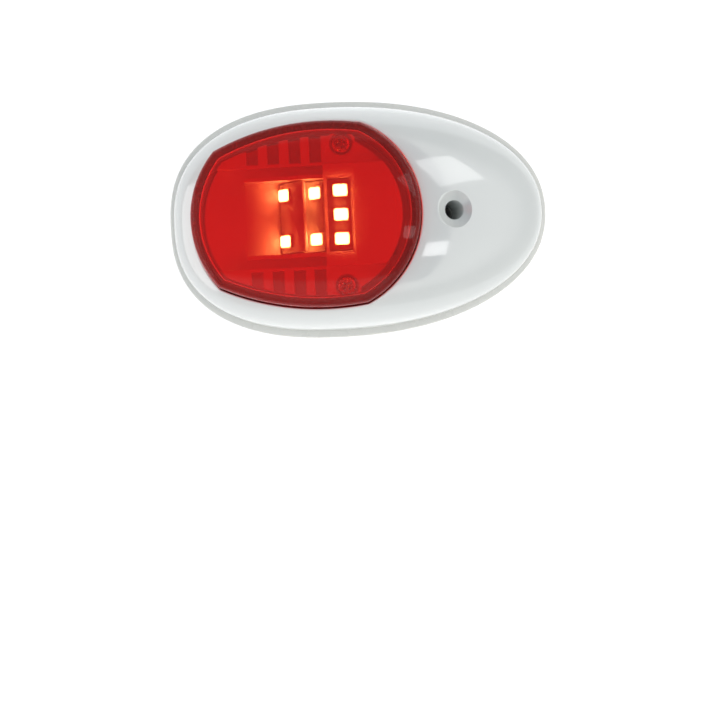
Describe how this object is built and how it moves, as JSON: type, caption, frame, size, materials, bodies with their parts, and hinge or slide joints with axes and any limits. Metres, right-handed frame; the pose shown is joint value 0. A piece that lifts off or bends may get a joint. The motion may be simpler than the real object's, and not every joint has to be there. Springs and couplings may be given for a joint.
{
  "type": "side-mount navigation light",
  "caption": "Egg-shaped white side-mount LED navigation light with a raised red port lens, a base plate and one leaning tail screw hole.",
  "frame": {"origin": "centre of the mounting face, in the middle of the base plate's length and width", "axes": "+X along the light towards its tail (aft), -X towards the bow end; +Z out of the mounting face, away from the hull; +Y up when the light hangs on a port bow"},
  "size_m": [0.083, 0.052, 0.027],
  "materials": {
    "shell_abs": "glossy white moulded ABS",
    "base_abs": "satin cream-white moulded ABS",
    "cover_abs": "matt light grey moulded ABS",
    "gasket_rubber": "matt black closed-cell foam and rubber",
    "red_lens": "clear red moulded polycarbonate, gloss",
    "seal_bead": "satin bonded bead under the lens edge",
    "carrier_white": "satin white reflective moulding",
    "led_board": "white solder mask",
    "led_package": "white package with lit phosphor",
    "screw_steel": "bright stainless steel",
    "driver_board": "green solder mask",
    "chip_epoxy": "matt black epoxy",
    "ferrite": "matt dark grey ferrite",
    "capacitor_can": "bright can",
    "lead_insulation": "red PVC insulation"
  },
  "bodies": {
    "root": {"housing_shell": "shell_abs", "base_plate": "base_abs", "mounting_gasket": "gasket_rubber", "rear_cover": "cover_abs", "carrier_gasket": "gasket_rubber", "cable_gland": "gasket_rubber", "lens": "red_lens", "lens_seal": "seal_bead", "led_carrier": "carrier_white", "forward_led_board": "led_board", "quarter_led_board": "led_board", "side_led_board": "led_board", "forward_led_upper": "led_package", "forward_led_lower": "led_package", "quarter_led_upper": "led_package", "quarter_led_lower": "led_package", "side_led_upper": "led_package", "side_led_middle": "led_package", "side_led_lower": "led_package", "carrier_screw_upper": "screw_steel", "carrier_screw_lower": "screw_steel", "rear_cover_screw_upper": "screw_steel", "rear_cover_screw_lower": "screw_steel", "driver_board": "driver_board", "driver_chip": "chip_epoxy", "polarity_diode": "chip_epoxy", "power_inductor": "ferrite", "input_capacitor": "capacitor_can", "forward_led_resistor": "chip_epoxy", "quarter_led_resistor": "chip_epoxy", "side_led_resistor": "chip_epoxy", "forward_jumper_lead": "lead_insulation", "quarter_jumper_lead": "lead_insulation", "side_jumper_lead": "lead_insulation"}
  },
  "joints": []
}
